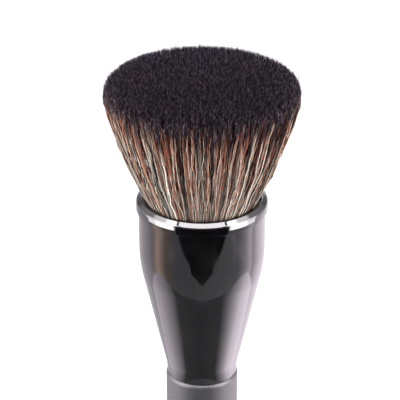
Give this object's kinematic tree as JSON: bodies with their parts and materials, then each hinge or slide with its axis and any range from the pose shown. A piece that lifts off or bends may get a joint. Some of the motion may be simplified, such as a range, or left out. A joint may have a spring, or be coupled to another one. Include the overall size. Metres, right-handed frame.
{
  "type": "powder brush",
  "caption": "Flat-topped powder brush with a dense spreading bristle head, a rolled-lip cone ferrule and a straight turned handle that it stands on.",
  "frame": {"origin": "centre of the handle's flat end, the lowest point of the upright brush", "axes": "+Z along the brush's axis from the handle's end to the bristle tips; the brush is turned, so X and Y are any two directions across it"},
  "size_m": [0.0426, 0.0426, 0.158],
  "materials": {
    "handle_lacquer": "satin",
    "ferrule_gloss": "gloss",
    "resin": "gloss",
    "binding_thread": "matte",
    "dark_fibre": "matte",
    "mixed_fibre": "matte"
  },
  "bodies": {
    "root": {"handle": "handle_lacquer", "ferrule": "ferrule_gloss", "resin_plug": "resin", "root_binding": "binding_thread", "bristles_core": "dark_fibre", "bristles_middle": "dark_fibre", "bristles_outer": "mixed_fibre"}
  },
  "joints": []
}
